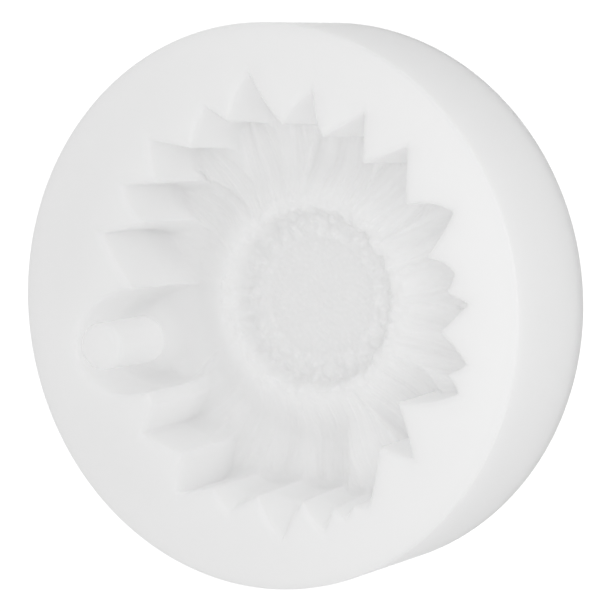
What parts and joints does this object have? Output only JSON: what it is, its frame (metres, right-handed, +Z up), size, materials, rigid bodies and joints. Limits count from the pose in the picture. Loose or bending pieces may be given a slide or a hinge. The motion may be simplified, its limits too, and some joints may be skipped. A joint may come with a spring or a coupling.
{
  "type": "resin casting mould",
  "caption": "Round flexible casting mould with an open flower-shaped cavity and a post that leaves a hanging hole in the casting.",
  "frame": {"origin": "centre of the flat underside, on the surface that the mould lies on", "axes": "+Z up out of the open cavity, +Y from the flower towards its hanging loop, +X to the right of that"},
  "size_m": [0.0952, 0.0952, 0.0254],
  "materials": {
    "body_silicone": "poured white translucent silicone, satin",
    "post_silicone": "poured white translucent silicone, satin"
  },
  "bodies": {
    "root": {"mould_body": "body_silicone", "hole_post": "post_silicone"}
  },
  "joints": []
}
